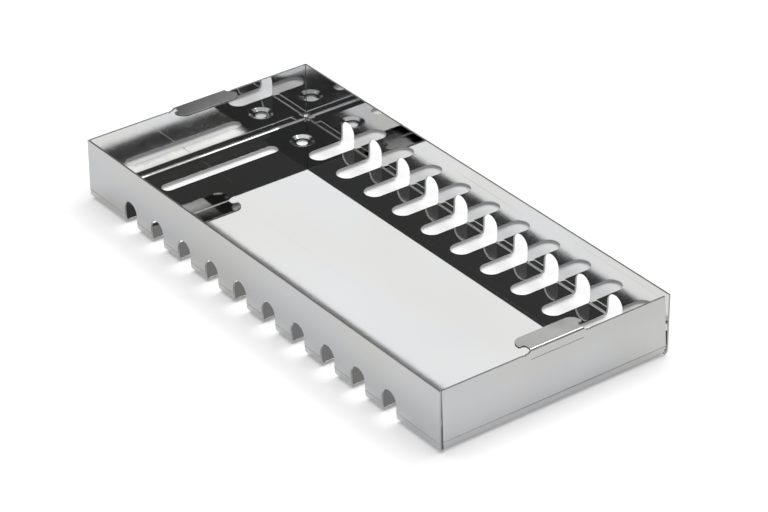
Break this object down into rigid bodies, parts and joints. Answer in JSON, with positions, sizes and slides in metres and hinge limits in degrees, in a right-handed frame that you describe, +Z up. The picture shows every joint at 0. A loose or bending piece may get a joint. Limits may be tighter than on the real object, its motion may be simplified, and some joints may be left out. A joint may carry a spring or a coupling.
{
  "type": "instrument tray",
  "caption": "Shallow rectangular steel sterilising tray with arched vents along both long sides, slotted floor, pressed feet and a T-shaped grip lip at each end.",
  "frame": {"origin": "on the surface the tray stands on, under the middle of the tray", "axes": "+X along the tray towards the right end wall, +Y across the tray towards the back long wall, +Z up"},
  "size_m": [0.235, 0.11, 0.029],
  "materials": {
    "satin_sheet": "stainless sheet, satin outside and polished inside",
    "polished_sheet": "stainless sheet, mirror polished on the inside, satin underneath"
  },
  "bodies": {
    "root": {"floor_panel": "polished_sheet", "front_long_wall": "satin_sheet", "back_long_wall": "satin_sheet", "right_end_wall": "satin_sheet", "left_end_wall": "satin_sheet", "right_grip_lip": "satin_sheet", "left_grip_lip": "satin_sheet", "foot_front_left": "polished_sheet", "foot_front_right": "polished_sheet", "foot_back_left": "polished_sheet", "foot_back_right": "polished_sheet"}
  },
  "joints": []
}
